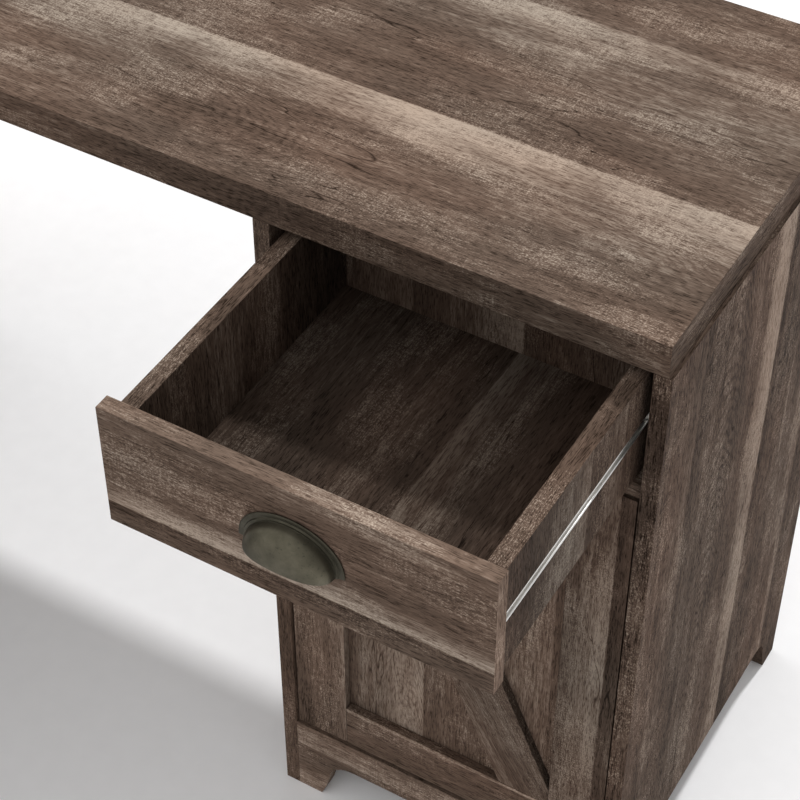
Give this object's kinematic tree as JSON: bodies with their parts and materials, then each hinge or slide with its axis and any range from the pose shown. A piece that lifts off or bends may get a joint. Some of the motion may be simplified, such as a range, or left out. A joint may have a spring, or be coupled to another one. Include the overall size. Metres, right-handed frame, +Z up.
{
  "type": "corner desk",
  "caption": "L-shaped corner desk in weathered wood laminate with a pedestal holding a slide-out drawer over a hinged braced door, and open shelves under the return.",
  "frame": {"origin": "middle of the desk's footprint rectangle, on the floor", "axes": "+X along the main wing towards the pedestal end, +Y from the user's side of the main wing to its back, +Z up; the return wing runs towards -Y at the -X end"},
  "size_m": [1.4, 1.24, 0.762],
  "materials": {
    "wood_laminate": "matt weathered brown-grey wood-grain laminate",
    "top_laminate": "matt weathered brown-grey wood-grain laminate, grain along the wing",
    "inner_laminate": "matt weathered brown-grey wood-grain laminate",
    "bright_steel": "bright zinc plated",
    "dark_pewter": "dark brushed pewter"
  },
  "bodies": {
    "desk": {"main_top": "top_laminate", "return_top": "top_laminate", "corner_top": "top_laminate", "seam_batten_main": "inner_laminate", "seam_batten_return": "inner_laminate", "apron_main": "wood_laminate", "apron_return": "wood_laminate", "back_panel_main": "wood_laminate", "back_panel_return": "wood_laminate", "corner_panel_back": "wood_laminate", "corner_panel_side": "wood_laminate", "seam_plate_main": "bright_steel", "seam_plate_return": "bright_steel", "right_panel": "wood_laminate", "inner_panel": "wood_laminate", "skirt": "wood_laminate", "pedestal_bottom": "inner_laminate", "pedestal_back": "inner_laminate", "divider": "wood_laminate", "cabinet_shelf": "inner_laminate", "shelf_pin_1": "bright_steel", "shelf_pin_2": "bright_steel", "shelf_pin_3": "bright_steel", "shelf_pin_4": "bright_steel", "case_runner_left": "bright_steel", "case_runner_right": "bright_steel", "hinge_plate_lower": "bright_steel", "hinge_plate_upper": "bright_steel", "return_end_panel": "wood_laminate", "return_inner_panel": "wood_laminate", "return_skirt": "wood_laminate", "return_back": "inner_laminate", "return_bottom": "inner_laminate", "return_shelf_lower": "wood_laminate", "return_shelf_upper": "wood_laminate"},
    "drawer": {"drawer_front": "wood_laminate", "drawer_side_left": "inner_laminate", "drawer_side_right": "inner_laminate", "drawer_back": "inner_laminate", "drawer_bottom": "inner_laminate", "drawer_rail_left": "bright_steel", "drawer_rail_right": "bright_steel", "cup_pull": "dark_pewter", "pull_screw_left": "bright_steel", "pull_screw_right": "bright_steel"},
    "door": {"door_stile_left": "wood_laminate", "door_stile_right": "wood_laminate", "door_rail_bottom": "wood_laminate", "door_rail_top": "wood_laminate", "door_panel": "wood_laminate", "door_brace": "wood_laminate", "door_knob": "dark_pewter", "hinge_cup_lower": "bright_steel", "hinge_cup_upper": "bright_steel"}
  },
  "joints": [
    {"name": "drawer_slide", "type": "slide", "parent": "desk", "child": "drawer", "axis": [0, -1, 0], "range_m": [-0.2305, 0]},
    {"name": "door_hinge", "type": "hinge", "parent": "desk", "child": "door", "pos_m": [0.684, 0.2095, 0.34675], "axis": [0, 0, 1], "range_deg": [0, 110]}
  ]
}
